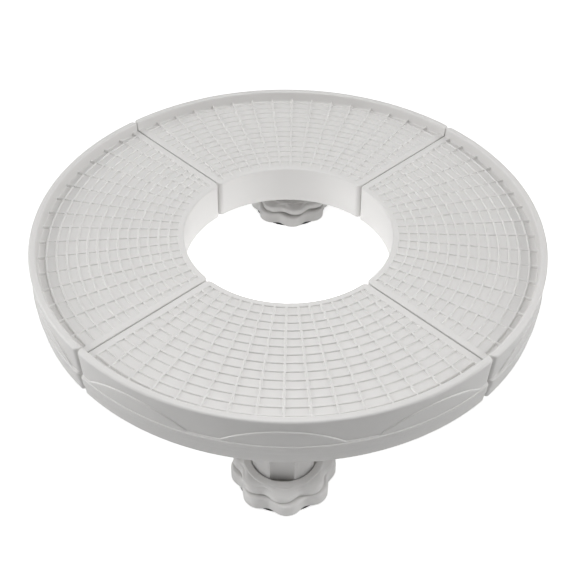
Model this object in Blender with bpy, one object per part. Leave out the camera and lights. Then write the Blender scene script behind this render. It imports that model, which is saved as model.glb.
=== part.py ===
"""A parasol base: a ring of four quarter trays on screw feet, which slide apart on steel tubes.

Each tray is one moulding: a ribbed deck with a raised outer rim, walls all round, and open below.
Two steel tubes cross each seam. They are screwed into the front and back trays and slide in
sleeves in the left and right ones, so the ring opens to go round a standing pole.
Under the middle of each tray is a leg column with a thread inside. A hand-wide knob turns the leg
screw in it to set the height, and a lock ring under the column's end jams the screw.
Run it with blender --background --python part.py, or from Blender's text editor.
Metres, +Z up. The origin is on the floor, on the ring's axis. The front tray faces -Y.
"""

import math

import bmesh
import bpy
from mathutils import Matrix, Vector

MM = 0.001

# Driving dimensions, in metres.
RIM_RADIUS = 225 * MM
HOLE_RADIUS = 92.5 * MM
TOP_HEIGHT = 120 * MM
RIM_RISE = 8.6 * MM
TRAY_DEPTH = 46.7 * MM
FOOT_CIRCLE = 181.3 * MM
SEAM_GAP = 1.2 * MM
WALL = 3 * MM
FIT_GAP = 0.3 * MM

# The tray. Its outside is turned round the ring's axis and then cut at the seams.
DECK = TOP_HEIGHT - RIM_RISE
TRAY_BOTTOM = TOP_HEIGHT - TRAY_DEPTH
GUTTER_FLOOR = DECK - 3 * MM
DECK_UNDERSIDE = DECK - 4.4 * MM
GUTTER_FROM = 212.2 * MM
RIM_INSIDE = 218.4 * MM
LEDGE_HEIGHT = TOP_HEIGHT - 26 * MM
HALF_SWEEP = math.radians(50)
SWEEP_STEPS = 16
SEAM_ANGLE = math.radians(45)
RIB_THICKNESS = 2.2 * MM
RADIAL_RIB_BOTTOM = 84 * MM
RING_RIB_BOTTOM = 88 * MM
RING_RIBS = (125 * MM, 155 * MM, 185 * MM)
RADIAL_RIBS = tuple(math.radians(a) for a in (-30, -15, 0, 15, 30))

# The tubes that cross the seams, and the sleeves that hold them.
TUBE_RADIUS = 8 * MM
TUBE_WALL = 1.1 * MM
TUBE_BORE = TUBE_RADIUS + 0.5 * MM
SLEEVE_RADIUS = 11 * MM
TUBE_HEIGHT = 93 * MM
TUBE_PLACES = {"inner": 125 * MM, "outer": 185 * MM}
TUBE_FIXED = 60 * MM
TUBE_SLIDING = 75 * MM
SLEEVE_LENGTH = 88 * MM
SLEEVE_FLOOR = 2.5 * MM
TUBE_SCREW_INSET = 30 * MM

# The leg column, in the foot's own frame: its origin is on the floor, on the foot's axis.
COLUMN_RIB_RADIUS = 26 * MM
COLUMN_CORE_RADIUS = 24.8 * MM
COLUMN_PANELS = 4
PANEL_WIDTH = 18.6 * MM
PANEL_FACE = 21.6 * MM
PANEL_RIB_ANGLE = math.radians(27)
PANEL_RIB_WIDTH = 2.6 * MM
COLUMN_TURN = math.radians(-3)
COLUMN_BOTTOM = 21.6 * MM
COLUMN_TOP = 102 * MM
SHOULDER_RADIUS = 30 * MM
SHOULDER_THICKNESS = 3 * MM
BOSS_RADIUS = 30.5 * MM
BOSS_BORE = COLUMN_RIB_RADIUS + 0.6 * MM
BOSS_BOTTOM = 76 * MM

# The leg screw, the knob that turns it and the lock ring above it.
SCREW_RADIUS = 15.9 * MM
THREAD_BORE = SCREW_RADIUS + 0.5 * MM
SCREW_TOP = 84 * MM
TANG_RADIUS = 12 * MM
LOBES = 8
LOBE_POINTS = 4
LOBE_HEIGHT = 2.4 * MM
KNOB_RADIUS = 43 * MM
KNOB_BOTTOM = 2.1 * MM
KNOB_TOP = 15.1 * MM
KNOB_EDGE = 2.2 * MM
RING_RADIUS = 40.3 * MM
RING_BOTTOM = 16.9 * MM
RING_BODY_TOP = 24.6 * MM
COLLAR_TOP = 28.1 * MM
COLLAR_RADIUS = 30 * MM
COLLAR_BORE = 27.4 * MM
RING_FLOOR = 20 * MM
WASHER_RADII = (17 * MM, 25.5 * MM)
WASHER_HEIGHTS = (RING_FLOOR + FIT_GAP, COLUMN_BOTTOM - FIT_GAP)

# The rubber pad under the knob, which stays still while the knob turns on it.
PAD_RADIUS = 38.5 * MM
PAD_FLANGE = KNOB_BOTTOM - FIT_GAP
PAD_HUB_RADIUS = 30 * MM
PAD_TOP = 5 * MM
KNOB_RECESS_TOP = PAD_TOP + FIT_GAP
KNOB_FLOOR_TOP = 8 * MM
SWIVEL_HEAD_RADIUS = 6.5 * MM
SWIVEL_HEAD_HEIGHTS = (0.9 * MM, 3.3 * MM)
SWIVEL_SHANK_RADIUS = 3.8 * MM
SWIVEL_THREAD_RADIUS = 2.6 * MM
SWIVEL_TOP = 18 * MM

# Each quarter's turn from the front, and how far its knob and lock ring stand turned at rest.
QUARTERS = {
    "front": (0, 3.4, -0.7),
    "right": (90, -9.0, 6.5),
    "back": (180, 4.2, 8.2),
    "left": (270, 14.0, -4.0),
}
# Seams by the tray that holds the tubes and the tray that slides on them: seam angle and side.
SEAMS = {
    ("front", "right"): (-45, 1),
    ("front", "left"): (225, -1),
    ("back", "right"): (45, -1),
    ("back", "left"): (135, 1),
}
FRONT = math.radians(-90)


def clear_scene():
    for obj in list(bpy.data.objects):
        bpy.data.objects.remove(obj, do_unlink=True)


def make_material(name, colour, roughness, metallic=0.0):
    material = bpy.data.materials.new(name)
    material.use_nodes = True
    shader = material.node_tree.nodes["Principled BSDF"]
    shader.inputs["Base Color"].default_value = (*colour, 1.0)
    shader.inputs["Roughness"].default_value = roughness
    shader.inputs["Metallic"].default_value = metallic
    return material


def mesh_from(bm, name):
    """Closes a bmesh off as a mesh, with its faces pointing out."""
    bmesh.ops.recalc_face_normals(bm, faces=bm.faces)
    mesh = bpy.data.meshes.new(name)
    bm.to_mesh(mesh)
    bm.free()
    return mesh


def turned(profile, start=0.0, sweep=2 * math.pi, steps=20):
    """A closed (radius, height) outline spun round +Z, with flat ends unless it goes all round."""
    bm = bmesh.new()
    turn = Matrix.Rotation(start, 3, "Z")
    verts = [bm.verts.new(turn @ Vector((r, 0, z))) for r, z in profile]
    off_axis = [i for i in range(len(verts)) if profile[i - 1][0] or profile[i][0]]
    edges = [bm.edges.new((verts[i - 1], verts[i])) for i in off_axis]
    whole = math.isclose(sweep, 2 * math.pi)
    bmesh.ops.spin(
        bm, geom=verts + edges, cent=(0, 0, 0), axis=(0, 0, 1), angle=sweep, steps=steps
    )
    bmesh.ops.remove_doubles(bm, verts=bm.verts, dist=1e-6)
    if not whole:
        bmesh.ops.holes_fill(bm, edges=[e for e in bm.edges if e.is_boundary], sides=0)
    return mesh_from(bm, "turned")


def cylinder(radius, low, high, segments=20, bore=0.0):
    """An upright cylinder or tube on the Z axis."""
    if bore:
        return turned([(bore, low), (radius, low), (radius, high), (bore, high)], steps=segments)
    bm = bmesh.new()
    bmesh.ops.create_cone(
        bm,
        cap_ends=True,
        segments=segments,
        radius1=radius,
        radius2=radius,
        depth=high - low,
        matrix=Matrix.Translation((0, 0, (low + high) / 2)),
    )
    return mesh_from(bm, "cylinder")


def block(low, high):
    """A box between two corners."""
    low, high = Vector(low), Vector(high)
    size = high - low
    bm = bmesh.new()
    place = Matrix.Translation((low + high) / 2) @ Matrix.Diagonal((*size, 1))
    bmesh.ops.create_cube(bm, size=1, matrix=place)
    return mesh_from(bm, "block")


def moved(mesh, matrix):
    mesh.transform(matrix)
    return mesh


def combined(mesh, operation, tool_meshes):
    """A mesh with others cut from it or joined to it, all in one exact Boolean."""
    helpers = bpy.data.collections.new("helpers")
    bpy.context.scene.collection.children.link(helpers)
    for tool_mesh in tool_meshes:
        helpers.objects.link(bpy.data.objects.new("tool", tool_mesh))
    body = bpy.data.objects.new("body", mesh)
    bpy.context.scene.collection.objects.link(body)
    modifier = body.modifiers.new(operation.lower(), "BOOLEAN")
    modifier.operation = operation
    modifier.solver = "EXACT"
    modifier.operand_type = "COLLECTION"
    modifier.collection = helpers
    evaluated = body.evaluated_get(bpy.context.evaluated_depsgraph_get())
    result = bpy.data.meshes.new_from_object(evaluated)
    for helper in [body, *helpers.objects]:
        bpy.data.objects.remove(helper)
    bpy.data.collections.remove(helpers)
    return result


def beyond_seam(side, inset):
    """The space past one seam of the front tray, less an inset: side is 1 for the right seam."""
    reach = 2 * RIM_RADIUS
    mesh = block((-reach, -inset, -reach), (reach, reach, reach))
    if side < 0:
        mesh = moved(mesh, Matrix.Scale(-1, 4, (0, 1, 0)))
        mesh.flip_normals()
    return moved(mesh, Matrix.Rotation(FRONT + side * SEAM_ANGLE, 4, "Z"))


def tray_sector(profile, inset):
    """An outline turned through the front quarter, with straight ends that lie along the seams."""
    mesh = turned(profile, FRONT - HALF_SWEEP, 2 * HALF_SWEEP, SWEEP_STEPS)
    return combined(mesh, "DIFFERENCE", [beyond_seam(side, inset) for side in (-1, 1)])


def along_tube(mesh, side, place):
    """Lays an upright mesh along a tube's line: its +Z goes from a seam of the front tray inwards."""
    seam = FRONT + side * SEAM_ANGLE
    centre = Matrix.Rotation(seam, 4, "Z") @ Matrix.Translation((place, 0, TUBE_HEIGHT))
    return moved(mesh, centre @ Matrix.Rotation(side * math.pi / 2, 4, "X"))


def tray_stiffeners():
    """What stands in the tray's hollow: ribs under the deck, tube sleeves and the leg's boss."""
    reach = RIM_RADIUS + 10 * MM
    over = DECK + 4 * MM
    found = []
    for angle in RADIAL_RIBS:
        side = RIB_THICKNESS / 2
        rib = block((80 * MM, -side, RADIAL_RIB_BOTTOM), (reach, side, over))
        found.append(moved(rib, Matrix.Rotation(FRONT + angle, 4, "Z")))
    for radius in RING_RIBS:
        inside, outside = radius - RIB_THICKNESS / 2, radius + RIB_THICKNESS / 2
        low = RING_RIB_BOTTOM
        outline = [(inside, low), (outside, low), (outside, over), (inside, over)]
        found.append(turned(outline, FRONT - HALF_SWEEP, 2 * HALF_SWEEP, SWEEP_STEPS))
    for side in (-1, 1):
        for place in TUBE_PLACES.values():
            sleeve = cylinder(SLEEVE_RADIUS, -5 * MM, SLEEVE_LENGTH, segments=16)
            found.append(along_tube(sleeve, side, place))
    boss = cylinder(BOSS_RADIUS, BOSS_BOTTOM, over)
    found.append(moved(boss, Matrix.Translation((0, -FOOT_CIRCLE, 0))))
    return found


def tray_bores():
    """What is cut through the tray: the tube bores, their screw holes and the column's socket."""
    found = []
    for side in (-1, 1):
        for place in TUBE_PLACES.values():
            bore = cylinder(TUBE_BORE, -5 * MM, SLEEVE_LENGTH - SLEEVE_FLOOR, segments=16)
            found.append(along_tube(bore, side, place))
            hole = cylinder(2.2 * MM, 78 * MM, TUBE_HEIGHT, segments=10)
            seam = Matrix.Rotation(FRONT + side * SEAM_ANGLE, 4, "Z")
            inset = Matrix.Translation((place, -side * TUBE_SCREW_INSET, 0))
            found.append(moved(hole, seam @ inset))
    socket = cylinder(BOSS_BORE, BOSS_BOTTOM - 5 * MM, COLUMN_TOP + FIT_GAP)
    found.append(moved(socket, Matrix.Translation((0, -FOOT_CIRCLE, 0))))
    return found


def tray_mesh():
    """One quarter tray, in the front place."""
    outside = [
        (HOLE_RADIUS + 1.4 * MM, TRAY_BOTTOM),
        (RIM_RADIUS - 2 * MM, TRAY_BOTTOM),
        (RIM_RADIUS - 0.4 * MM, LEDGE_HEIGHT - 10 * MM),
        (RIM_RADIUS + 1 * MM, LEDGE_HEIGHT - 1 * MM),
        (RIM_RADIUS - 0.8 * MM, LEDGE_HEIGHT),
        (RIM_RADIUS, TOP_HEIGHT - 1.5 * MM),
        (RIM_RADIUS - 1.5 * MM, TOP_HEIGHT),
        (RIM_INSIDE + 1 * MM, TOP_HEIGHT),
        (RIM_INSIDE, TOP_HEIGHT - 1 * MM),
        (RIM_INSIDE - 0.4 * MM, GUTTER_FLOOR),
        (GUTTER_FROM, GUTTER_FLOOR),
        (GUTTER_FROM, DECK),
        (HOLE_RADIUS + 1 * MM, DECK),
        (HOLE_RADIUS, DECK - 1 * MM),
    ]
    below = TRAY_BOTTOM - 5 * MM
    hollow = [
        (HOLE_RADIUS + 1.6 * MM + WALL, below),
        (RIM_RADIUS - 2.4 * MM - WALL, below),
        (RIM_RADIUS - 1.6 * MM - WALL, DECK_UNDERSIDE),
        (HOLE_RADIUS + WALL, DECK_UNDERSIDE),
    ]
    inset = SEAM_GAP / 2
    hollow_mesh = combined(tray_sector(hollow, inset + WALL), "DIFFERENCE", tray_stiffeners())
    return combined(tray_sector(outside, inset), "DIFFERENCE", [hollow_mesh, *tray_bores()])


def column_mesh():
    """The leg column: a threaded tube with four sunk panels between ribs, and a shoulder."""
    core = cylinder(COLUMN_CORE_RADIUS, COLUMN_BOTTOM, COLUMN_TOP, bore=THREAD_BORE)
    panels, ribs = [], []
    for i in range(COLUMN_PANELS):
        middle = FRONT + COLUMN_TURN + i * 2 * math.pi / COLUMN_PANELS
        panel = block(
            (PANEL_FACE, -PANEL_WIDTH / 2, COLUMN_BOTTOM - 1 * MM),
            (SHOULDER_RADIUS, PANEL_WIDTH / 2, COLUMN_TOP + 1 * MM),
        )
        panels.append(moved(panel, Matrix.Rotation(middle, 4, "Z")))
        for side in (-1, 1):
            rib = block(
                (COLUMN_CORE_RADIUS - 3 * MM, -PANEL_RIB_WIDTH / 2, COLUMN_BOTTOM),
                (COLUMN_RIB_RADIUS - 0.4 * MM, PANEL_RIB_WIDTH / 2, COLUMN_TOP),
            )
            ribs.append(moved(rib, Matrix.Rotation(middle + side * PANEL_RIB_ANGLE, 4, "Z")))
    shoulder_top = BOSS_BOTTOM - FIT_GAP
    shoulder = cylinder(
        SHOULDER_RADIUS, shoulder_top - SHOULDER_THICKNESS, shoulder_top, bore=THREAD_BORE + 2 * MM
    )
    return combined(combined(core, "DIFFERENCE", panels), "UNION", [shoulder, *ribs])


def lobed(radius, low, high, edge):
    """A disc with eight round lobes and a chamfered edge: its radius is a cosine of the angle."""
    mesh = turned(
        [(0, low), (radius - edge, low), (radius, low + edge), (radius, high - edge),
         (radius - edge, high), (0, high)],
        steps=LOBES * LOBE_POINTS,
    )
    for vert in mesh.vertices:
        angle = math.atan2(vert.co.y, vert.co.x)
        ripple = LOBE_HEIGHT * (1 - math.cos(LOBES * (angle - FRONT)))
        reach = math.hypot(vert.co.x, vert.co.y)
        if reach > radius / 2:
            vert.co.x *= (reach - ripple) / reach
            vert.co.y *= (reach - ripple) / reach
    return mesh


def knob_mesh():
    """The foot knob: eight lobes, a recess below for the pad and a hexagonal socket above."""
    cuts = [
        cylinder(PAD_HUB_RADIUS + 0.4 * MM, 0, KNOB_RECESS_TOP),
        cylinder(SWIVEL_SHANK_RADIUS + 0.5 * MM, 1 * MM, KNOB_TOP, segments=12),
        cylinder(TANG_RADIUS + 0.5 * MM, KNOB_FLOOR_TOP, 20 * MM, segments=6),
    ]
    return combined(lobed(KNOB_RADIUS, KNOB_BOTTOM, KNOB_TOP, KNOB_EDGE), "DIFFERENCE", cuts)


def lock_ring_mesh():
    """The lock ring: eight lobes and a round collar that hides the column's end."""
    body = lobed(RING_RADIUS, RING_BOTTOM, RING_BODY_TOP, KNOB_EDGE)
    collar = cylinder(COLLAR_RADIUS, RING_BOTTOM + 2 * MM, COLLAR_TOP)
    bores = [
        cylinder(COLLAR_BORE, RING_FLOOR, COLLAR_TOP + 5 * MM),
        cylinder(THREAD_BORE, RING_BOTTOM - 5 * MM, RING_FLOOR + 1 * MM),
    ]
    return combined(combined(body, "UNION", [collar]), "DIFFERENCE", bores)


def leg_screw_mesh():
    """The leg screw: a thick threaded rod with a hexagonal tang that sits in the knob."""
    rod = cylinder(SCREW_RADIUS, KNOB_TOP + FIT_GAP, SCREW_TOP)
    tang = cylinder(TANG_RADIUS, KNOB_FLOOR_TOP + FIT_GAP, KNOB_TOP + 5 * MM, segments=6)
    hole = cylinder(SWIVEL_THREAD_RADIUS + 0.4 * MM, 0, SWIVEL_TOP + 1 * MM, segments=12)
    return combined(combined(rod, "UNION", [tang]), "DIFFERENCE", [hole])


def pad_mesh():
    """The rubber pad: a thin flange on the floor, and a hub with a sunk hole for the swivel screw."""
    sunk = SWIVEL_HEAD_RADIUS + 1 * MM
    ledge = SWIVEL_HEAD_HEIGHTS[1] + FIT_GAP
    hole = SWIVEL_SHANK_RADIUS + 0.5 * MM
    return turned(
        [(sunk, 0), (PAD_RADIUS, 0), (PAD_RADIUS, PAD_FLANGE), (PAD_HUB_RADIUS, PAD_FLANGE),
         (PAD_HUB_RADIUS, PAD_TOP), (hole, PAD_TOP), (hole, ledge), (sunk, ledge)],
        steps=24,
    )


def swivel_screw_mesh():
    """The screw up through the pad: head, plain shank and thread."""
    low, high = SWIVEL_HEAD_HEIGHTS
    shank_top = KNOB_FLOOR_TOP - 0.1 * MM
    return turned(
        [(0, low), (SWIVEL_HEAD_RADIUS, low), (SWIVEL_HEAD_RADIUS, high),
         (SWIVEL_SHANK_RADIUS, high), (SWIVEL_SHANK_RADIUS, shank_top),
         (SWIVEL_THREAD_RADIUS, shank_top), (SWIVEL_THREAD_RADIUS, SWIVEL_TOP),
         (0, SWIVEL_TOP)],
        steps=12,
    )


def place(name, mesh, material, collection, parent=None, matrix=None):
    """Puts a mesh in the scene as a named part."""
    obj = bpy.data.objects.new(name, mesh)
    obj.data.materials.clear()
    obj.data.materials.append(material)
    obj.data.shade_smooth()
    obj.data.set_sharp_from_angle(angle=math.radians(30))
    collection.objects.link(obj)
    if parent:
        obj.parent = parent
    if matrix:
        obj.matrix_local = matrix
    return obj


def empty(name, matrix, collection):
    obj = bpy.data.objects.new(name, None)
    obj.empty_display_size = 30 * MM
    obj.matrix_local = matrix
    collection.objects.link(obj)
    return obj


def build_quarters(parts, plastic, rubber, steel, acetal):
    """Four trays, each on its own leg."""
    meshes = {
        "tray": tray_mesh(),
        "leg_column": column_mesh(),
        "thrust_washer": cylinder(WASHER_RADII[1], *WASHER_HEIGHTS, bore=WASHER_RADII[0]),
        "lock_ring": lock_ring_mesh(),
        "leg_screw": leg_screw_mesh(),
        "foot_knob": knob_mesh(),
        "foot_pad": pad_mesh(),
        "swivel_screw": swivel_screw_mesh(),
    }
    materials = {
        "tray": plastic,
        "leg_column": plastic,
        "thrust_washer": acetal,
        "lock_ring": plastic,
        "leg_screw": plastic,
        "foot_knob": plastic,
        "foot_pad": rubber,
        "swivel_screw": steel,
    }
    for quarter, (turn, knob_turn, ring_turn) in QUARTERS.items():
        around = Matrix.Rotation(math.radians(turn), 4, "Z")
        place(f"tray_{quarter}", meshes["tray"], materials["tray"], parts, matrix=around)
        axis = around @ Matrix.Translation((0, -FOOT_CIRCLE, 0))
        foot = empty(f"foot_axis_{quarter}", axis, parts)
        turns = {"foot_knob": knob_turn, "leg_screw": knob_turn, "lock_ring": ring_turn}
        for piece in list(meshes)[1:]:
            turned_by = Matrix.Rotation(math.radians(turns.get(piece, 0)), 4, "Z")
            place(f"{piece}_{quarter}", meshes[piece], materials[piece], parts, foot, turned_by)


def build_tubes(parts, steel):
    """Two tubes across each seam, each with the screw that holds it in the front or back tray."""
    tube = cylinder(
        TUBE_RADIUS, -TUBE_SLIDING, TUBE_FIXED, segments=16, bore=TUBE_RADIUS - TUBE_WALL
    )
    head_top = TUBE_HEIGHT - SLEEVE_RADIUS - 0.4 * MM
    screw = turned(
        [(0, head_top - 2.4 * MM), (3.8 * MM, head_top - 2.4 * MM), (3.8 * MM, head_top),
         (1.7 * MM, head_top), (1.7 * MM, TUBE_HEIGHT - 3 * MM), (0, TUBE_HEIGHT - 3 * MM)],
        steps=8,
    )
    inset = Matrix.Translation((0, 0, TUBE_SCREW_INSET))
    for (holder, slider), (seam, side) in SEAMS.items():
        upright_to_inward = Matrix.Rotation(side * math.pi / 2, 4, "X")
        drill = moved(cylinder(2.2 * MM, 0, 2 * TUBE_RADIUS, 8), inset @ upright_to_inward)
        drilled = combined(tube.copy(), "DIFFERENCE", [drill])
        for name, reach in TUBE_PLACES.items():
            line = Matrix.Rotation(math.radians(seam), 4, "Z") @ Matrix.Translation((reach, 0, 0))
            laid = line @ Matrix.Translation((0, 0, TUBE_HEIGHT)) @ upright_to_inward
            place(f"tube_{holder}_{slider}_{name}", drilled, steel, parts, matrix=laid)
            beside = line @ Matrix.Translation((0, -side * TUBE_SCREW_INSET, 0))
            place(f"tube_screw_{holder}_{slider}_{name}", screw, steel, parts, matrix=beside)


def main():
    clear_scene()
    parts = bpy.data.collections.new("parasol_base")
    bpy.context.scene.collection.children.link(parts)
    plastic = make_material("pale grey plastic", (0.70, 0.70, 0.685), 0.5)
    rubber = make_material("black rubber", (0.02, 0.02, 0.02), 0.8)
    steel = make_material("zinc plated steel", (0.62, 0.62, 0.64), 0.3, 1.0)
    acetal = make_material("natural acetal", (0.86, 0.86, 0.82), 0.4)
    build_quarters(parts, plastic, rubber, steel, acetal)
    build_tubes(parts, steel)


main()
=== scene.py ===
# %% [markdown]
# # A parasol base: looks
# The real object is a low ring stand of pale moulded plastic. Four quarter trays with ribbed
# decks make the ring, each on a foot that is set with a lobed knob, and steel tubes let the
# trays slide apart. The CAD solids are plain. Here each visible one is swapped for a finer
# surface, worked out with numpy as a function of two parameters, and given its finish.

import math

import bpy
import numpy as np
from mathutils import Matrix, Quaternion, Vector


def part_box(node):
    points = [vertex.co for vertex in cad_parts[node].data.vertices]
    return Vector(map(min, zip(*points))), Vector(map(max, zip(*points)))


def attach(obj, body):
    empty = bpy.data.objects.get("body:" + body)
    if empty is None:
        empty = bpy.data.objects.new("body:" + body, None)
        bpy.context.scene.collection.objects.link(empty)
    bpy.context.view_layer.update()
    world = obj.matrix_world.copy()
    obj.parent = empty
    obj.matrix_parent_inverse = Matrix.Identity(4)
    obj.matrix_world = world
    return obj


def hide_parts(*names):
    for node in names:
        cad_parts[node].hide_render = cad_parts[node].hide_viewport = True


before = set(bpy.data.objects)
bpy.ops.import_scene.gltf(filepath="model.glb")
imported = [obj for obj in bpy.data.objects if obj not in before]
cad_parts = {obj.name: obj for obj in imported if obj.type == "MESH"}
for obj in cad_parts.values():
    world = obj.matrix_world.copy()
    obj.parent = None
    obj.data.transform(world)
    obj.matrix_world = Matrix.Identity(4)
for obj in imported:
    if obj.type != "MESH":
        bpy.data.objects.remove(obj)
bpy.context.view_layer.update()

# %% [markdown]
# ## Sizes that everything hangs on
# Heights and places come from the CAD nodes' own boxes, so a finer surface always lands where
# its solid is. Smaller features are sizes of the pieces themselves, in millimetres.

# %% Take the main places from the CAD
MM = 0.001
QUARTERS = {"front": 0, "right": 90, "back": 180, "left": 270}
FRONT = math.radians(-90)
tray_low, tray_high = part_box("tray_front")
pad_low, pad_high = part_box("foot_pad_front")
TOP = tray_high.z
DEPTH = tray_high.z - tray_low.z
FOOT_CIRCLE = -(pad_low.y + pad_high.y) / 2
print(f"rim top {TOP / MM:.1f} mm, tray {DEPTH / MM:.1f} deep, feet at {FOOT_CIRCLE / MM:.1f}")

# %% [markdown]
# ## Small tools
# A grid of points becomes faces by one array sum, and a mesh is filled with foreach_set, so no
# loop ever runs over vertices.


# %% Mesh tools
def grid_faces(rows, columns, wrap_rows=False, wrap_columns=False, start=0):
    """Quads of a rows by columns grid of points, each [row, column] to the next of both."""
    index = start + np.arange(rows * columns).reshape(rows, columns)
    if wrap_rows:
        index = np.vstack([index, index[:1]])
    if wrap_columns:
        index = np.hstack([index, index[:, :1]])
    return np.stack(
        [index[:-1, :-1], index[:-1, 1:], index[1:, 1:], index[1:, :-1]], axis=-1
    ).reshape(-1, 4)


def turned_about_ring(points, degrees):
    """Points turned about the ring's upright axis."""
    angle = math.radians(degrees)
    turn = np.array(
        [[math.cos(angle), -math.sin(angle), 0], [math.sin(angle), math.cos(angle), 0], [0, 0, 1]]
    )
    return points @ turn.T


def spun(profile, steps=96, lobe_depth=0):
    """A closed surface round the axis. A profile row is (lobes' share, radius, height), and
    radius at an angle = radius - share x lobe depth x (half of 1 - cos 8 angles) to a power,
    which broadens the lobes' tips and narrows the valleys between them."""
    lobed, radius, height = np.array(profile, float).T[..., None]
    angle = FRONT + np.linspace(0, 2 * np.pi, steps, endpoint=False)
    dip = ((1 - np.cos(8 * (angle - FRONT))) / 2) ** 1.4
    reach = radius - lobed * lobe_depth * dip
    points = np.stack(
        [reach * np.cos(angle), reach * np.sin(angle), height + 0 * angle], axis=-1
    ).reshape(-1, 3)
    return points, [grid_faces(len(profile), steps, wrap_rows=True, wrap_columns=True)]


def arc_rows(share, centre, radius, start, stop, count=5):
    """Profile rows along a quarter round: angles in degrees from outward towards up."""
    turn = np.radians(np.linspace(start, stop, count))
    reach = centre[0] + radius * np.cos(turn)
    return [(share, r, z) for r, z in zip(reach, centre[1] + radius * np.sin(turn))]


def fill_mesh(name, points, face_sets):
    """A mesh from points in metres and arrays of faces, each array with its own corner count."""
    mesh = bpy.data.meshes.new(name)
    mesh.vertices.add(len(points))
    mesh.vertices.foreach_set("co", np.ascontiguousarray(points, np.float32).ravel())
    corners = np.concatenate([faces.ravel() for faces in face_sets])
    sizes = np.concatenate([np.full(len(faces), faces.shape[1]) for faces in face_sets])
    mesh.loops.add(len(corners))
    mesh.loops.foreach_set("vertex_index", corners.astype(np.int32))
    mesh.polygons.add(len(sizes))
    mesh.polygons.foreach_set("loop_start", (np.cumsum(sizes) - sizes).astype(np.int32))
    mesh.update(calc_edges=True)
    mesh.validate()
    return mesh


def join_shells(shells):
    """Several (points, face sets) shells as one, with each shell's faces moved on."""
    points, face_sets, start = [], [], 0
    for shell_points, shell_faces in shells:
        points.append(shell_points)
        face_sets.extend(faces + start for faces in shell_faces)
        start += len(shell_points)
    return np.concatenate(points), face_sets


def finish_piece(name, shell, material, body, replaced, crease=40):
    """Puts a shell in the scene as a piece that rides on a body and stands for CAD nodes."""
    mesh = fill_mesh(name, *shell)
    mesh.materials.append(material)
    mesh.shade_smooth()
    mesh.set_sharp_from_angle(angle=math.radians(crease))
    piece = bpy.data.objects.new(name, mesh)
    bpy.context.scene.collection.objects.link(piece)
    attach(piece, body)
    if replaced:
        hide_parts(*replaced)
    return piece


# %% [markdown]
# ## Finishes
# The trays, columns, knobs and lock rings are one pale, warm grey polypropylene with a fine
# satin texture from the mould. Up close it shows a grain a few tenths of a millimetre across,
# and over a hand's width it drifts a little in tone and gloss. The grain is a node group, so
# that the plastic, the rubber and the washers share it with values of their own.


# %% A group for moulded grain
def moulded_grain_group():
    """Noise at two sizes on Object coordinates: fine grain for relief, slow drift for tone."""
    group = bpy.data.node_groups.new("moulded grain", "ShaderNodeTree")
    sockets = [
        ("Colour", "INPUT", "NodeSocketColor"),
        ("Colour drift", "INPUT", "NodeSocketFloat"),
        ("Roughness", "INPUT", "NodeSocketFloat"),
        ("Roughness drift", "INPUT", "NodeSocketFloat"),
        ("Grain scale", "INPUT", "NodeSocketFloat"),
        ("Drift scale", "INPUT", "NodeSocketFloat"),
        ("Colour", "OUTPUT", "NodeSocketColor"),
        ("Roughness", "OUTPUT", "NodeSocketFloat"),
        ("Height", "OUTPUT", "NodeSocketFloat"),
    ]
    for title, direction, kind in sockets:
        group.interface.new_socket(name=title, in_out=direction, socket_type=kind)
    nodes, links = group.nodes, group.links
    given, made = nodes.new("NodeGroupInput"), nodes.new("NodeGroupOutput")
    place = nodes.new("ShaderNodeTexCoord")
    drift, grain = nodes.new("ShaderNodeTexNoise"), nodes.new("ShaderNodeTexNoise")
    drift.inputs["Detail"].default_value = 3
    grain.inputs["Detail"].default_value = 2
    for texture, scale in ((drift, "Drift scale"), (grain, "Grain scale")):
        links.new(place.outputs["Object"], texture.inputs["Vector"])
        links.new(given.outputs[scale], texture.inputs["Scale"])

    centred = nodes.new("ShaderNodeMath")
    centred.operation = "SUBTRACT"
    centred.inputs[1].default_value = 0.5
    links.new(drift.outputs["Fac"], centred.inputs[0])

    tone = nodes.new("ShaderNodeMath")
    tone.operation = "MULTIPLY_ADD"
    tone.inputs[2].default_value = 1.0
    links.new(centred.outputs[0], tone.inputs[0])
    links.new(given.outputs["Colour drift"], tone.inputs[1])
    tinted = nodes.new("ShaderNodeVectorMath")
    tinted.operation = "SCALE"
    links.new(given.outputs["Colour"], tinted.inputs[0])
    links.new(tone.outputs[0], tinted.inputs["Scale"])
    links.new(tinted.outputs[0], made.inputs["Colour"])

    gloss = nodes.new("ShaderNodeMath")
    gloss.operation = "MULTIPLY_ADD"
    links.new(centred.outputs[0], gloss.inputs[0])
    links.new(given.outputs["Roughness drift"], gloss.inputs[1])
    links.new(given.outputs["Roughness"], gloss.inputs[2])
    links.new(gloss.outputs[0], made.inputs["Roughness"])
    links.new(grain.outputs["Fac"], made.inputs["Height"])
    return group


MOULDED_GRAIN = moulded_grain_group()
print("group", MOULDED_GRAIN.name, "has", len(MOULDED_GRAIN.nodes), "nodes")


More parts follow.
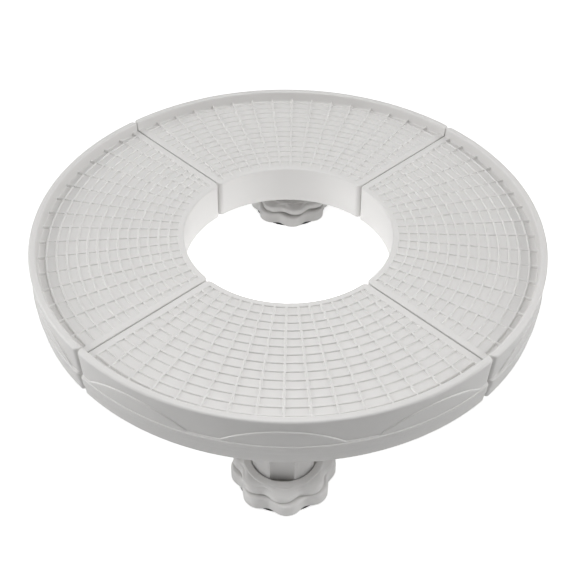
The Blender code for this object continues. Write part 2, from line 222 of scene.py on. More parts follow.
# %% Finishes that use the grain
def moulded_finish(name, colour, roughness, drift, grain_scale, relief, relief_depth):
    """A Principled finish fed by the grain group. Drift is (tone, gloss); relief a strength."""
    material = bpy.data.materials.new(name)
    material.use_nodes = True
    nodes, links = material.node_tree.nodes, material.node_tree.links
    shader = nodes["Principled BSDF"]
    grain = nodes.new("ShaderNodeGroup")
    grain.node_tree = MOULDED_GRAIN
    grain.inputs["Colour"].default_value = (*colour, 1)
    grain.inputs["Colour drift"].default_value = drift[0]
    grain.inputs["Roughness"].default_value = roughness
    grain.inputs["Roughness drift"].default_value = drift[1]
    grain.inputs["Grain scale"].default_value = grain_scale
    grain.inputs["Drift scale"].default_value = 9
    bump = nodes.new("ShaderNodeBump")
    bump.inputs["Strength"].default_value = relief
    bump.inputs["Distance"].default_value = relief_depth
    links.new(grain.outputs["Colour"], shader.inputs["Base Color"])
    links.new(grain.outputs["Roughness"], shader.inputs["Roughness"])
    links.new(grain.outputs["Height"], bump.inputs["Height"])
    links.new(bump.outputs["Normal"], shader.inputs["Normal"])
    return material


PLASTIC = moulded_finish(
    "pale grey polypropylene", (0.752, 0.742, 0.730), 0.46, (0.05, 0.12), 2600, 0.35, 0.05 * MM
)
RUBBER = moulded_finish(
    "black rubber", (0.018, 0.018, 0.019), 0.75, (0.3, 0.1), 1800, 0.5, 0.1 * MM
)
ACETAL = moulded_finish(
    "natural acetal", (0.82, 0.815, 0.77), 0.35, (0.03, 0.1), 3000, 0.2, 0.03 * MM
)


def steel_finish():
    """Bright drawn tube: metal whose gloss varies in fine streaks."""
    material = bpy.data.materials.new("zinc plated steel")
    material.use_nodes = True
    nodes, links = material.node_tree.nodes, material.node_tree.links
    shader = nodes["Principled BSDF"]
    shader.inputs["Metallic"].default_value = 1.0
    shader.inputs["Base Color"].default_value = (0.66, 0.66, 0.67, 1)
    place = nodes.new("ShaderNodeTexCoord")
    streaks = nodes.new("ShaderNodeTexNoise")
    streaks.inputs["Scale"].default_value = 900
    streaks.inputs["Detail"].default_value = 3
    spread = nodes.new("ShaderNodeMapRange")
    spread.inputs["To Min"].default_value = 0.2
    spread.inputs["To Max"].default_value = 0.36
    bump = nodes.new("ShaderNodeBump")
    bump.inputs["Strength"].default_value = 0.15
    bump.inputs["Distance"].default_value = 0.02 * MM
    links.new(place.outputs["Object"], streaks.inputs["Vector"])
    links.new(streaks.outputs["Fac"], spread.inputs["Value"])
    links.new(spread.outputs["Result"], shader.inputs["Roughness"])
    links.new(streaks.outputs["Fac"], bump.inputs["Height"])
    links.new(bump.outputs["Normal"], shader.inputs["Normal"])
    return material


STEEL = steel_finish()
print("finishes:", [material.name for material in (PLASTIC, RUBBER, ACETAL, STEEL)])

# %% [markdown]
# ## The tray's deck
# The deck is a shallow grid: fifteen ribs run outwards and thirteen run round, over pockets a
# little over a millimetre deep, inside a flat border. Outside the last rib is a deeper gutter,
# which the outward ribs cross, and then the raised rim.
# All of it is one height over a polar grid. The grid's own lines lie along the edges of the
# ribs, because a line at a set distance beside a rib's middle is still straight, so the ribs
# come out crisp with few faces. Heights are in millimetres below the rim's top.

# %% Lines that run outwards
DECK, POCKET, GUTTER = -8.6, -9.8, -11.2
RIB_BESIDE = np.array([-1.45, -1.12, -0.9, -0.72, -0.45, 0.45, 0.72, 0.9, 1.12, 1.45])
RIB_SHARE = np.array([0, 0, 0.35, 0.9, 1, 1, 0.9, 0.35, 0, 0])
RIB_STEP = math.radians(5.545)
SEAM = math.radians(45)
BORDER_BESIDE = np.array([5.9, 6.75, 7.02, 7.2, 7.42, 7.75])
BORDER_SHARE = np.array([1, 1, 0.9, 0.35, 0, 0])

rib_angles = RIB_STEP * np.arange(-7, 8)
middles = (rib_angles[1:] + rib_angles[:-1]) / 2
anchor = np.concatenate([np.repeat(rib_angles, len(RIB_BESIDE)), middles])
beside = np.concatenate([np.tile(RIB_BESIDE, len(rib_angles)), 0 * middles])
share = np.concatenate([np.tile(RIB_SHARE, len(rib_angles)), 0 * middles])
in_order = np.argsort(anchor + beside / 200)
one_side = np.full(len(BORDER_BESIDE) + 1, SEAM)
anchor = np.concatenate([-one_side, anchor[in_order], one_side])
beside = np.concatenate([[0], BORDER_BESIDE, beside[in_order], -BORDER_BESIDE[::-1], [0]])
share = np.concatenate([[1], BORDER_SHARE, share[in_order], BORDER_SHARE[::-1], [1]])
print(len(anchor), "lines run outwards")

# %% Lines that run round, and how high each one lies in a pocket
INNER_EDGE, OUTER_EDGE = 94.1, 223.0
INNER_CORNER, OUTER_CORNER = 3.4, 2.8
RING_RIBS = 106.4 + 8.75 * np.arange(13)
corner_turn = np.radians([0, 18, 36, 54, 72, 90])
edge_share = np.array([1, 0.9, 0.35, 0, 0])
edge_run = np.array([0.45, 0.72, 0.9, 1.12, 1.45])
rim_turn = np.radians([10, 30, 50, 70])

ring_radius = np.concatenate([
    INNER_EDGE + INNER_CORNER * (1 - np.cos(corner_turn)),
    97.15 + edge_run,
    (RING_RIBS[:-1, None] + RIB_BESIDE).ravel(),
    RING_RIBS[-1] - edge_run[::-1],
    RING_RIBS[-1] + edge_run,
    [217.2, 217.75, 218.05, 218.2, 218.26, 218.3, 218.45, 218.6],
    220.2 - 1.6 * np.cos(rim_turn),
    OUTER_EDGE - OUTER_CORNER * (1 - np.cos(corner_turn[::-1])),
])
ring_height = np.concatenate([
    np.full(6, DECK),
    DECK + (POCKET - DECK) * (1 - edge_share),
    np.tile(DECK + (POCKET - DECK) * (1 - RIB_SHARE), len(RING_RIBS) - 1),
    DECK + (POCKET - DECK) * (1 - edge_share[::-1]),
    DECK + (GUTTER - DECK) * (1 - edge_share),
    [GUTTER, GUTTER + 0.08, GUTTER + 0.35, GUTTER + 0.8, DECK, DECK + 0.4, -4.6, -1.7],
    -1.6 + 1.6 * np.sin(rim_turn),
    np.zeros(6),
])
print(len(ring_radius), "lines run round")


# %% The deck's points
def seam_distance(radius):
    """Distance of the tray's side from the seam: set, and more where a corner is rounded off."""
    side = 1.2
    into_inner = np.clip(INNER_EDGE + INNER_CORNER - radius, 0, INNER_CORNER)
    into_outer = np.clip(radius - OUTER_EDGE + OUTER_CORNER, 0, OUTER_CORNER)
    inner = INNER_CORNER - np.sqrt(INNER_CORNER**2 - into_inner**2)
    outer = OUTER_CORNER - np.sqrt(OUTER_CORNER**2 - into_outer**2)
    return side + inner + outer


def smooth_step(value, low, high):
    """0 below low, 1 above high, and a smooth S between."""
    t = np.clip((value - low) / (high - low), 0, 1)
    return t * t * (3 - 2 * t)


# Beyond the ribs the lines slide along the rim to even places, with lines on the arches' ends.
ARCH_MIDDLES = np.radians([-30.2, 0, 30.2])
ARCH_HALF = math.radians(11.85)
even_places = np.interp(
    np.arange(len(anchor) - 2),
    np.cumsum([0, 3, 48, 12, 49, 12, 48, 3]),
    np.radians([-43.3, -42.05, -18.35, -11.85, 11.85, 18.35, 42.05, 43.3]),
)


def deck_points():
    """Angle of a line: its rib's angle plus arcsin(distance beside / radius). Height of a
    point: the line round's height, raised to the deck by the outward line's share of rib."""
    sideways = np.tile(beside, (len(ring_radius), 1))
    sideways[:, 0] = seam_distance(ring_radius)
    sideways[:, -1] = -sideways[:, 0]
    angle = anchor + np.arcsin(sideways / ring_radius[:, None])
    along_rim = smooth_step(ring_radius, 218.55, 220.1)[:, None]
    angle[:, 1:-1] += along_rim * (even_places - angle[:, 1:-1])
    raised = np.maximum(ring_height, DECK)[:, None]
    height = ring_height[:, None] + (raised - ring_height[:, None]) * share
    return angle, np.broadcast_to(ring_radius[:, None], angle.shape), height


deck_angle, deck_radius, deck_height = deck_points()
print("deck grid", deck_angle.shape, "angles rise:", bool((np.diff(deck_angle) > 0).all()))

# %% [markdown]
# ## The tray's walls
# The edge of the deck grid is a closed loop. The walls are that loop carried down through a
# profile: each step moves it out or in along its own normal, and down. Outside, the wall leans
# in under the rim and meets a ledge, below which a band stands proud, with a step under it.
# Three flat arches stand on the ledge. Their curved tops are steps too, so a row of the
# profile follows each arch's outline, and the outline stays sharp.

# %% Loop round the deck
LEDGE, ARCH_RISE = -27.1, 16.0
LEAN_UNDER_RIM, PROUD_OF_WALL = 0.8, 0.95
LIP, CEILING = 3.4, -13.0
EDGE_TURNS = np.radians([18, 36, 54, 72, 90])
rows, columns = deck_angle.shape
deck_index = np.arange(rows * columns).reshape(rows, columns)
loop = np.concatenate([
    deck_index[0], deck_index[1:, -1], deck_index[-1, -2::-1], deck_index[-2:0:-1, 0]
])
loop_angle = deck_angle.ravel()[loop]
loop_radius = deck_radius.ravel()[loop]
loop_height = deck_height.ravel()[loop]
loop_xy = loop_radius[:, None] * np.stack(
    [np.cos(FRONT + loop_angle), np.sin(FRONT + loop_angle)], axis=1
)
travel = np.roll(loop_xy, -1, axis=0) - np.roll(loop_xy, 1, axis=0)
travel /= np.linalg.norm(travel, axis=1)[:, None]
loop_normal = np.stack([-travel[:, 1], travel[:, 0]], axis=1)
outward = (loop_normal * loop_xy).sum(axis=1) / loop_radius
is_outer = np.clip(outward, 0, 1) ** 2
is_inner = np.clip(-outward, 0, 1) ** 2
edge_round = 2.0 * is_outer + 1.6 * is_inner + 0.4 * (1 - is_outer - is_inner)
print("loop of", len(loop), "points, edge rounded", edge_round.min(), "to", edge_round.max(), "mm")


# %% Walls below the loop
def arch_outline(angle):
    """Height of the arches' tops above the ledge: a circle's segment on each middle, or 0."""
    half_width = OUTER_EDGE * ARCH_HALF
    circle = (half_width**2 + ARCH_RISE**2) / (2 * ARCH_RISE)
    away = OUTER_EDGE * np.abs(angle[:, None] - ARCH_MIDDLES).min(axis=1)
    rise = np.sqrt(np.maximum(circle**2 - away**2, 0)) - (circle - ARCH_RISE)
    return np.maximum(rise, 0)


def wall_rows():
    """Rows of (distance out, height), each over the whole loop, from the deck down and round
    under the lip to the ceiling of the hollow."""
    found = []
    for turn in EDGE_TURNS:
        found.append((edge_round * np.sin(turn), loop_height - edge_round * (1 - np.cos(turn))))

    arch_top = LEDGE + 0.75 + arch_outline(loop_angle)
    below_edge = loop_height - edge_round
    for part in (0.3, 0.65, 1.0):
        height = below_edge + (arch_top + 0.6 - below_edge) * part
        found.append((-LEAN_UNDER_RIM * is_outer * height / LEDGE, height))
    for drop, proud in ((-0.35, 0), (-0.12, 0.45), (0.05, 0.85), (0.35, PROUD_OF_WALL)):
        height = arch_top - drop
        found.append((is_outer * (proud - LEAN_UNDER_RIM * height / LEDGE), height))
    arch_foot = arch_top - 0.35
    for part in (0.35, 0.7):
        height = arch_foot + (LEDGE + 0.25 - arch_foot) * part
        found.append((is_outer * (PROUD_OF_WALL - LEAN_UNDER_RIM * height / LEDGE), height))
    below = [
        (LEDGE + 0.2, 0.15), (LEDGE + 0.08, 0.45), (LEDGE - 0.05, 0.85), (LEDGE - 0.35, 1.0),
        (-30.4, 0.95), (-30.6, 0.8), (-30.8, 0.65), (-31.1, 0.7), (-31.5, 0.75), (-35.7, 0.7),
        (-36.0, 0.55), (-36.2, 0.1), (-36.5, -0.1), (-36.9, -0.1), (-41.5, -0.3), (-45.9, -0.5),
    ]
    for height, proud in below:
        found.append((is_outer * proud, np.full(len(loop), height)))
    bottom = -DEPTH / MM
    for height, tuck in ((0.35, 0.1), (0.1, 0.35), (0, 0.75), (0, 2.4), (0.2, 2.75), (0.6, 3.0)):
        found.append((-0.5 * is_outer - tuck, np.full(len(loop), bottom + height)))
    found.append((-LIP + 0 * loop_height, np.full(len(loop), CEILING)))

    rounding = len(EDGE_TURNS)
    distance = np.array([row[0] for row in found])
    height = np.array([row[1] for row in found])
    distance[rounding:] += edge_round
    lean = np.clip((height - DECK) / (bottom - DECK), 0, 1)
    lean[-1] = 0
    distance[rounding:] -= 1.4 * (is_inner * lean)[rounding:]
    return distance, height


def tray_shell():
    """The tray as one closed surface: deck grid, walls, lip and the hollow's ceiling."""
    deck = np.stack([
        deck_radius * np.cos(FRONT + deck_angle), deck_radius * np.sin(FRONT + deck_angle),
        deck_height,
    ], axis=-1).reshape(-1, 3)
    distance, height = wall_rows()
    wall_xy = loop_xy + distance[..., None] * loop_normal
    wall = np.concatenate([wall_xy, height[..., None]], axis=-1)
    steps = len(wall)
    below = len(deck) + np.arange(steps * len(loop)).reshape(steps, len(loop))
    ladder = np.vstack([loop, below])
    ladder = np.hstack([ladder, ladder[:, :1]])
    wall_faces = np.stack(
        [ladder[:-1, :-1], ladder[:-1, 1:], ladder[1:, 1:], ladder[1:, :-1]], axis=-1
    ).reshape(-1, 4)
    deck_faces = grid_faces(rows, columns)[:, ::-1]
    points = np.concatenate([deck, wall.reshape(-1, 3)]) * MM
    points[:, 2] += TOP
    return points, [deck_faces, wall_faces, below[-1:]]


tray = tray_shell()
print("tray:", len(tray[0]), "points,", sum(len(faces) for faces in tray[1]), "faces")

# %% [markdown]
# ## Under the tray
# The hollow underneath is stiffened as such mouldings are: thin ribs outwards and round, a boss
# that holds the column, and four blind sleeves for the tubes. Each is a closed shell whose top
# is sunk a little into the ceiling, so nothing has to be cut.


# %% Ribs, boss and sleeves underneath
BOSS_RADIUS, BOSS_BORE, BOSS_END = 30.5, 26.7, -44.0
TUBE_PLACES, TUBE_LEVEL, SLEEVE_LENGTH = (125.0, 185.0), -27.0, 88.0
RIB_THICK, SUNK = 2.2, CEILING + 1.0
SLEEVE = [
    (8.4, 85.5), (8.4, 1.5), (10.6, 1.5), (11, 1.9), (11, 87.5), (10.5, SLEEVE_LENGTH),
]
MOUTH = [(8.35, 2.0), (8.35, 0.6), (8.55, 0.4), (10.2, 0.4), (10.6, 0.8), (10.6, 2.0)]


def strip_shell(path, thick, low, high):
    """A thin wall along a level path: the path moved half the thickness to both sides."""
    way = np.gradient(path, axis=0)
    way /= np.linalg.norm(way, axis=1)[:, None]
    side = np.stack([-way[:, 1], way[:, 0]], axis=1) * thick / 2
    taper = 0.3 / thick * 2
    corners = [(1 - taper, low), (1, low + 0.3), (1, high), (-1, high), (-1, low + 0.3),
               (taper - 1, low)]
    points = np.stack([
        np.column_stack([path + share * side, np.full(len(path), height)])
        for share, height in corners
    ], axis=1)
    count = len(corners)
    ends = np.stack([np.arange(count), (len(path) - 1) * count + np.arange(count)[::-1]])
    return points.reshape(-1, 3), [
        grid_faces(len(path), count, wrap_columns=True)[:, ::-1], ends[:, ::-1]
    ]


def along_line(outline, start, way, steps=32, capped=True):
    """An outline of (radius, distance) rows spun round a level line, with flat ends."""
    across = np.array([-way[1], way[0], 0])
    angle = np.linspace(0, 2 * np.pi, steps, endpoint=False)
    ring = np.cos(angle)[:, None] * across + np.sin(angle)[:, None] * np.array([0, 0, 1])
    outline = np.array(outline, float)
    points = start + outline[:, 0, None, None] * ring + outline[:, 1, None, None] * way
    rows = len(outline)
    faces = [grid_faces(rows, steps, wrap_rows=not capped, wrap_columns=True)[:, ::-1]]
    if capped:
        faces.append(np.stack([np.arange(steps), (rows - 1) * steps + np.arange(steps)[::-1]]))
    return points.reshape(-1, 3), faces


def seam_line(side, place):
    """Start and direction of a tube's line: on the seam, then square to it into the tray."""
    out = np.array([side * math.sin(SEAM), -math.cos(SEAM), 0])
    inward = np.array([-side * math.cos(SEAM), -math.sin(SEAM), 0])
    return out * place + np.array([0, 0, TUBE_LEVEL]), inward


def underside_shells():
    """The stiffening ribs, the boss, and the sleeves with the raised rings of their mouths."""
    shells = []
    radial = [(angle, 97.0, 218.5) for angle in (-30, -15, 15, 30)]
    radial += [(0, 97.0, 149.0), (0, 211.0, 218.5)]
    for angle, start, stop in radial:
        way = np.array([math.sin(math.radians(angle)), -math.cos(math.radians(angle))])
        path = np.linspace(start, stop, 8)[:, None] * way
        shells.append(strip_shell(path, RIB_THICK, -36.0, SUNK))
    for radius, gap in ((125, 0), (155, 6.7), (185, 9.9)):
        reach = 45 - math.degrees(4.2 / radius)
        spans = [(-reach, reach)] if gap == 0 else [(-reach, -gap), (gap, reach)]
        for start, stop in spans:
            turn = np.radians(np.linspace(start, stop, 24))
            path = radius * np.stack([np.sin(turn), -np.cos(turn)], axis=1)
            shells.append(strip_shell(path, RIB_THICK, -32.0, SUNK))
    boss = [
        (0, BOSS_RADIUS, SUNK), (0, BOSS_BORE, SUNK), (0, BOSS_BORE, BOSS_END),
        (0, BOSS_RADIUS - 0.4, BOSS_END), (0, BOSS_RADIUS, BOSS_END + 0.4),
    ]
    boss_points, boss_faces = spun(boss, 64)
    boss_points[:, 1] -= FOOT_CIRCLE / MM
    shells.append((boss_points, boss_faces))
    for side in (-1, 1):
        for place in TUBE_PLACES:
            start, inward = seam_line(side, place)
            shells.append(along_line(SLEEVE, start, inward))
            shells.append(along_line(MOUTH, start, inward, 40, capped=False))
    return shells


def to_metres(shell):
    """A shell in millimetres below the rim's top, as metres above the floor."""
    points, faces = shell
    points = points * MM
    points[:, 2] += TOP
    return points, faces


# %% Put the four trays in place
whole_tray = join_shells([tray, *map(to_metres, underside_shells())])
for quarter, turn in QUARTERS.items():
    shell = (turned_about_ring(whole_tray[0], turn), whole_tray[1])
    finish_piece(
        f"ribbed_tray_{quarter}", shell, PLASTIC, f"tray_{quarter}", [f"tray_{quarter}"],
        crease=50,
    )

# %% [markdown]
# ## Feet
# Each foot stands under the middle of its tray. Its pieces are worked out about the foot's own
# axis, with the floor at 0, and then set on the foot circle. Knob and lock ring have the same
# eight lobes, a radius that rises and falls as a cosine of the angle, and every row of their
# profile says how much of the lobes it takes: the edge takes all of them, and the collar, the
# bores and the recesses take none.


# %% Surfaces about the foot's axis
def in_foot(points_mm, quarter, turned=0.0):
    """Millimetres about a foot's axis to metres in the frame, after the piece's own turn."""
    points = turned_about_ring(points_mm * MM, turned)
    points[:, 1] -= FOOT_CIRCLE
    return turned_about_ring(points, QUARTERS[quarter])


def stand_at_feet(piece, shell, turns, material, body, node):
    """The same shell at all four feet, each turned by its own angle, for that foot's node."""
    for quarter in QUARTERS:
        placed = (in_foot(shell[0], quarter, turns.get(quarter, 0.0)), shell[1])
        finish_piece(
            f"{piece}_{quarter}", placed, material, f"{body}_{quarter}", [f"{node}_{quarter}"]
        )
    print(f"{piece}: four of {len(shell[0])} points")


# %% Knob
KNOB_PROFILE = [
    (0, 30.4, 5.3),
    (0, 30.4, 2.1),
    *arc_rows(1, (41.4, 3.7), 1.6, -90, 0, 5),
    *arc_rows(1, (40.4, 12.5), 2.6, 0, 80, 7),
    (1, 38.6, 15.1),
    (0, 26.0, 15.1),
    (0, 12.5, 15.1),
    (0, 12.5, 8.0),
    (0, 4.4, 8.0),
    (0, 4.4, 5.3),
]
KNOB_TURNS = {"front": 5.5, "right": -9.0, "back": 4.4, "left": 14.0}
LOBED_STEPS, KNOB_LOBES = 160, 5.0
knob = spun(KNOB_PROFILE, LOBED_STEPS, KNOB_LOBES)
stand_at_feet("lobed_knob", knob, KNOB_TURNS, PLASTIC, "knob", "foot_knob")

# %% Lock ring
LOCK_PROFILE = [
    (0, 27.0, 20.0),
    (0, 16.4, 20.0),
    (0, 16.4, 16.9),
    (0, 30.0, 16.9),
    *arc_rows(1, (39.6, 18.1), 1.2, -90, 0, 5),
    *arc_rows(1, (37.4, 20.9), 3.4, 0, 72, 8),
    (0.85, 37.6, 24.7),
    (0.5, 35.85, 25.4),
    (0.2, 34.35, 25.95),
    (0, 33.4, 26.2),
    (0, 33.2, 26.3),
    (0, 33.05, 26.75),
    *arc_rows(0, (32.6, 26.8), 0.4, 0, 80, 4),
    (0, 30.5, 27.4),
    (0, 28.4, 27.5),
    *arc_rows(0, (27.7, 27.0), 0.5, 90, 180, 4),
]
LOCK_TURNS = {"front": -0.2, "right": 6.5, "back": 10.2, "left": -4.0}
LOCK_LOBES = 4.6
lock = spun(LOCK_PROFILE, LOBED_STEPS, LOCK_LOBES)
stand_at_feet("lobed_lock_ring", lock, LOCK_TURNS, PLASTIC, "lock_ring", "lock_ring")

# %% [markdown]
# ## Leg column and leg screw
# The column is a round tube with four flat panels sunk into it, each between two narrow ribs.
# Its outline is carried straight up, so the outline is the whole shape. The screw inside
# it is a rod whose radius falls and rises with height minus a turn's share of the pitch, which
# is what makes a right-hand thread.


# %% Column
COLUMN_TURN, PANEL_FACE, COLUMN_WALL = -1.6, 22.6, 26.1
COLUMN_END, SHOULDER = 21.6, 30.0


def column_outline():
    """Radius and angle round the column: a flat sunk panel every 90 degrees, sloping sides up
    to a narrow rib beside it, and a plain round wall from rib to rib."""
    across = np.array([8.4, 8.9, 9.2, 9.5, 9.8, 10.1, 12.2, 12.5, 12.8, 14.5, 16.0])
    reach = np.array([
        0, 0, 25.0, 26.2, 26.45, 26.5, 26.5, 26.4, COLUMN_WALL, COLUMN_WALL, COLUMN_WALL
    ])
    flat = np.hypot(PANEL_FACE, across)
    reach = np.where(across < 9, flat, reach)
    beside_panel = np.arcsin(across / np.maximum(reach, 1))
    side = np.where(across < 9, np.arctan2(across, PANEL_FACE), beside_panel)
    on_panel = np.array([0.0, 3.0, 6.0])
    inner = np.arctan2(on_panel, PANEL_FACE)
    inner_reach = np.hypot(PANEL_FACE, on_panel)
    round_wall = np.linspace(side[-1], math.radians(90) - side[-1], 7)[1:-1]
    half = np.concatenate([inner, side])
    half_reach = np.concatenate([inner_reach, reach])
    one_angle = np.concatenate([-half[:0:-1], half, round_wall])
    round_reach = np.full(len(round_wall), COLUMN_WALL)
    one_reach = np.concatenate([half_reach[:0:-1], half_reach, round_reach])
    starts = FRONT + math.radians(COLUMN_TURN) + np.radians(90) * np.arange(4)
    return (starts[:, None] + one_angle).ravel(), np.tile(one_reach, 4)


def column_shell():
    """The outline carried up from the column's end to its shoulder, closed by its bore."""
    angle, reach = column_outline()
    plain = 0 * reach
    rings = [
        (plain + 16.4, COLUMN_END), (plain + 20.5, COLUMN_END), (reach - 0.6, COLUMN_END),
        (reach - 0.15, COLUMN_END + 0.15), (reach, COLUMN_END + 0.6), (reach, 71.5),
        (plain + 27.2, 72.2), (plain + SHOULDER - 0.6, 72.5), (plain + SHOULDER, 73),
        (plain + SHOULDER, 75.7), (plain + 16.4, 75.7),
    ]
    points = np.concatenate([
        np.stack([r * np.cos(angle), r * np.sin(angle), plain + z], axis=1) for r, z in rings
    ])
    return points, [grid_faces(len(rings), len(angle), wrap_rows=True, wrap_columns=True)]


stand_at_feet("ribbed_column", column_shell(), {}, PLASTIC, "tray", "leg_column")


# %% Leg screw
def thread_shell(radius=15.9, depth=2.2, pitch=5.0, low=15.4, high=84.0, steps=72):
    """Radius = radius - depth x a flat-bottomed wave of (height / pitch - turn). The thread
    fades out at both ends, where the rod is plain."""
    height = np.arange(low, high + 0.01, pitch / 12)
    angle = np.linspace(0, 2 * np.pi, steps, endpoint=False)
    wave = np.abs(2 * ((height[:, None] / pitch - angle / (2 * np.pi)) % 1) - 1)
    groove = np.clip((wave - 0.3) / 0.4, 0, 1)
    fade_in, fade_out = smooth_step(height, low + 1, low + 4), smooth_step(height, high - 4, high)
    reach = radius - depth * groove * np.minimum(fade_in, 1 - fade_out)[:, None]
    level = height[:, None] + 0 * angle
    points = np.stack([reach * np.cos(angle), reach * np.sin(angle), level], axis=-1)
    rings = len(height)
    caps = np.stack([np.arange(steps)[::-1], (rings - 1) * steps + np.arange(steps)])
    return points.reshape(-1, 3), [grid_faces(rings, steps, wrap_columns=True), caps]


stand_at_feet("threaded_leg", thread_shell(), KNOB_TURNS, PLASTIC, "knob", "leg_screw")

# %% [markdown]
# ## Rubber pads
# A pad is a thin rubber disc that shows only as a black edge in the valleys between the knob's
# lobes. Under it are rings of shallow grooves for grip.

# %% Pads
GROOVES = (34, 30, 26, 22, 18, 14)
GROOVE_SECTION = ((0.9, 0), (0.5, 0.6), (-0.5, 0.6), (-0.9, 0))
groove_rows = [(0, r + d, z) for r in GROOVES for d, z in GROOVE_SECTION]
PAD_PROFILE = [
    (0, 7.5, 3.6),
    (0, 7.5, 0.4),
    (0, 7.9, 0.0),
    *groove_rows[::-1],
    *arc_rows(0, (37.2, 0.6), 0.6, -90, 0, 4),
    *arc_rows(0, (37.3, 1.3), 0.5, 0, 90, 4),
    (0, 30.0, 1.8),
    (0, 30.0, 5.0),
    (0, 4.3, 5.0),
    (0, 4.3, 3.6),
]
stand_at_feet("rubber_pad", spun(PAD_PROFILE, 96), {}, RUBBER, "pad", "foot_pad")

# %% [markdown]
# ## Steel tubes
# Two tubes cross each seam. They show only when the trays are spread. Each is a plain drawn
# tube, so a rounded wall profile is carried once round its line.


# %% Tubes
def tube_shell(node, radius=8.0, wall=1.1, steps=48):
    """The wall's outline, with rounded ends, spun round the line between the node's ends. The
    line lies level at 45 degrees, so the node's box gives its ends."""
    low, high = (np.array(corner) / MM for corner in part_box(node))
    middle = (low + high) / 2
    half = (high[0] - low[0] - 2 * radius * math.sin(SEAM)) / 2 / math.cos(SEAM)
    side = -1 if middle[0] * middle[1] > 0 else 1
    along = np.array([math.cos(SEAM), side * math.sin(SEAM), 0])
    across = np.array([-along[1], along[0], 0])
    up = np.array([0, 0, 1])
    inner = radius - wall
    soft = 0.3
    outline = np.array([
        (inner, -half + soft), (inner + soft, -half),
        (radius - soft, -half), (radius, -half + soft),
        (radius, half - soft), (radius - soft, half),
        (inner + soft, half), (inner, half - soft),
    ])
    angle = np.linspace(0, 2 * np.pi, steps, endpoint=False)
    ring = np.cos(angle)[:, None] * across + np.sin(angle)[:, None] * up
    points = middle + outline[:, 0, None, None] * ring + outline[:, 1, None, None] * along
    return points.reshape(-1, 3) * MM, [
        grid_faces(len(outline), steps, wrap_rows=True, wrap_columns=True)[:, ::-1]
    ]


tube_nodes = [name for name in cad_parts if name.startswith("tube_") and "screw" not in name]
for node in tube_nodes:
    holder = node.split("_")[1]
    finish_piece(f"steel_{node}", tube_shell(node), STEEL, f"tray_{holder}", [node])
print(len(tube_nodes), "tubes")

# %% Better finishes on the CAD nodes that stay
KEPT_NODES = {"tube_screw": STEEL, "swivel_screw": STEEL, "thrust_washer": ACETAL}
for start, finish in KEPT_NODES.items():
    kept = [node for name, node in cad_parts.items() if name.startswith(start)]
    for node in kept:
        for slot in node.material_slots:
            slot.material = finish
    print(len(kept), "of", start, "in", finish.name)

# %% [markdown]
# ## Studio
# A wide pale floor, a white surround and large soft lights. The lights stand to the left and
# the right and above, so the front wall falls into soft shade while both sides stay light. The
# front foot is lighter than the wall over it, so it gets a narrow lamp of its own. One bright
# light from the front would be simpler, but it would flatten the wall and the deck's ribs.


# %% Floor and surround
def plain_finish(name, colour, roughness):
    """One colour and one gloss, for the studio only."""
    material = bpy.data.materials.new(name)
    material.use_nodes = True
    shader = material.node_tree.nodes["Principled BSDF"]
    shader.inputs["Base Color"].default_value = (*colour, 1)
    shader.inputs["Roughness"].default_value = roughness
    return material


def painted_glow_floor_finish():
    """A white floor with painted light. It glows under the ring's middle, so that the hole and the
    hollow underneath stay light, and this glow paints out their shade. To the camera alone it is
    lifted all over, and more further out, where the lights no longer reach, as painted light that
    hides the floor's shade and shadows: seen glow = lift(distance) + glow(distance)."""
    material = plain_finish("white floor with painted glow", (0.84, 0.84, 0.84), 0.9)
    nodes, links = material.node_tree.nodes, material.node_tree.links
    shader = nodes["Principled BSDF"]
    place, away = nodes.new("ShaderNodeTexCoord"), nodes.new("ShaderNodeVectorMath")
    away.operation = "LENGTH"
    # Painted glow: strongest under the ring's middle, it paints out the shade on the floor in the
    # hole and under the trays, and it also lights the hollow.
    glow = nodes.new("ShaderNodeMapRange")
    glow.interpolation_type = "SMOOTHSTEP"
    glow.inputs["From Min"].default_value = 0.02
    glow.inputs["From Max"].default_value = 0.2
    glow.inputs["To Min"].default_value = 1.15
    glow.inputs["To Max"].default_value = 0.0
    # Painted light seen by the camera alone: the floor is lifted all over, and more further out
    # where the lights no longer reach, which paints out its shade and shadows.
    lift = nodes.new("ShaderNodeMapRange")
    lift.interpolation_type = "SMOOTHSTEP"
    lift.inputs["From Min"].default_value = 0.3
    lift.inputs["From Max"].default_value = 1.6
    lift.inputs["To Min"].default_value = 0.62
    lift.inputs["To Max"].default_value = 1.0
    seen = nodes.new("ShaderNodeLightPath")
    lifted = nodes.new("ShaderNodeMath")
    lifted.operation = "MULTIPLY_ADD"
    links.new(place.outputs["Object"], away.inputs[0])
    links.new(away.outputs["Value"], glow.inputs["Value"])
    links.new(away.outputs["Value"], lift.inputs["Value"])
    links.new(lift.outputs["Result"], lifted.inputs[1])
    links.new(seen.outputs["Is Camera Ray"], lifted.inputs[0])
    links.new(glow.outputs["Result"], lifted.inputs[2])
    shader.inputs["Emission Color"].default_value = (1, 1, 1, 1)
    links.new(lifted.outputs[0], shader.inputs["Emission Strength"])
    return material


half_floor = 6.0
floor_points = np.array([(-1, -1, 0), (1, -1, 0), (1, 1, 0), (-1, 1, 0)]) * half_floor
floor_mesh = fill_mesh("floor", floor_points, [np.array([[0, 1, 2, 3]])])
floor_mesh.materials.append(painted_glow_floor_finish())
floor = bpy.data.objects.new("floor", floor_mesh)
bpy.context.scene.collection.objects.link(floor)


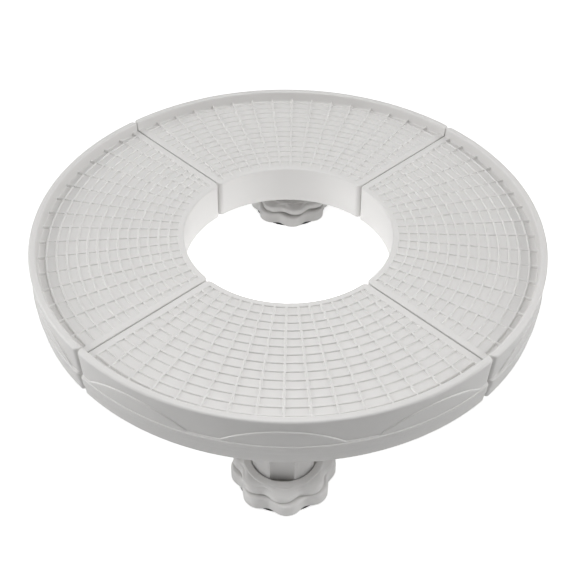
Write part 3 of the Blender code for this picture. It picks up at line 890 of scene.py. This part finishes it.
def white_surround():
    """A world that looks white and gives almost no light of its own."""
    surround = bpy.data.worlds.new("white surround")
    surround.use_nodes = True
    nodes, links = surround.node_tree.nodes, surround.node_tree.links
    seen, strength = nodes.new("ShaderNodeLightPath"), nodes.new("ShaderNodeMapRange")
    strength.inputs["To Min"].default_value = 0.03
    strength.inputs["To Max"].default_value = 1.0
    nodes["Background"].inputs["Color"].default_value = (1, 1, 1, 1)
    links.new(seen.outputs["Is Camera Ray"], strength.inputs["Value"])
    links.new(strength.outputs["Result"], nodes["Background"].inputs["Strength"])
    return surround


bpy.context.scene.world = white_surround()
print("floor", 2 * half_floor, "m wide, world", bpy.context.scene.world.name)


# %% Lights
def hang_lamp(name, lamp, place, target):
    """Puts a lamp at a place, turned to face a target."""
    light = bpy.data.objects.new(name, lamp)
    light.location = place
    light.rotation_mode = "QUATERNION"
    light.rotation_quaternion = (Vector(target) - Vector(place)).to_track_quat("-Z", "Y")
    bpy.context.scene.collection.objects.link(light)


def soft_light(name, place, target, size, power):
    """A square area light with sides of a size in metres and a power in watts."""
    lamp = bpy.data.lights.new(name, "AREA")
    lamp.size = size
    lamp.energy = power
    hang_lamp(name, lamp, place, target)


def narrow_light(name, place, target, cone, power):
    """A spot light with a cone in degrees, whose edge is soft."""
    lamp = bpy.data.lights.new(name, "SPOT")
    lamp.spot_size = math.radians(cone)
    lamp.spot_blend = 0.8
    lamp.shadow_soft_size = 0.12
    lamp.energy = power
    hang_lamp(name, lamp, place, target)


middle = (0, 0, TOP / 2)
soft_light("left light", (-1.5, 0.0, 0.8), middle, 0.9, 15.0)
soft_light("right light", (1.5, -0.05, 0.8), middle, 0.9, 14.5)
soft_light("back light", (0, 1.5, 1.0), middle, 1.0, 4.0)
soft_light("left front light", (-1.45, -0.45, 0.35), middle, 0.7, 1.8)
soft_light("high front light", (0, -0.45, 1.3), middle, 0.5, 3.4)
soft_light("near top light", (0, -0.12, 0.62), (0, 0.05, 0.1), 0.4, 0.8)
narrow_light("foot light", (0, -0.95, 0.42), (0, -0.275, 0), 11.5, 13.0)
bpy.context.scene.view_settings.view_transform = "Standard"
print(len(bpy.data.lights), "lights")


# %% Camera
def set_camera(azimuth, elevation, distance, aim, lens, roll):
    """Angles in degrees about the middle of the rim's top, a distance and an aim in metres."""
    a, e = math.radians(azimuth), math.radians(elevation)
    back = Vector((math.sin(a) * math.cos(e), -math.cos(a) * math.cos(e), math.sin(e)))
    place = Vector((0, 0, TOP)) + back * distance
    data = bpy.data.cameras.new("camera")
    data.lens = lens
    camera = bpy.data.objects.new("camera", data)
    camera.location = place
    camera.rotation_mode = "QUATERNION"
    level = (Vector(aim) - place).to_track_quat("-Z", "Y")
    camera.rotation_quaternion = level @ Quaternion((0, 0, 1), math.radians(roll))
    bpy.context.scene.collection.objects.link(camera)
    bpy.context.scene.camera = camera


set_camera(0.5576, 38.8363, 0.8332, (0.0021, 0, TOP - 0.0809), 58.545, 0.79)
print("camera at", [round(along, 3) for along in bpy.context.scene.camera.location])
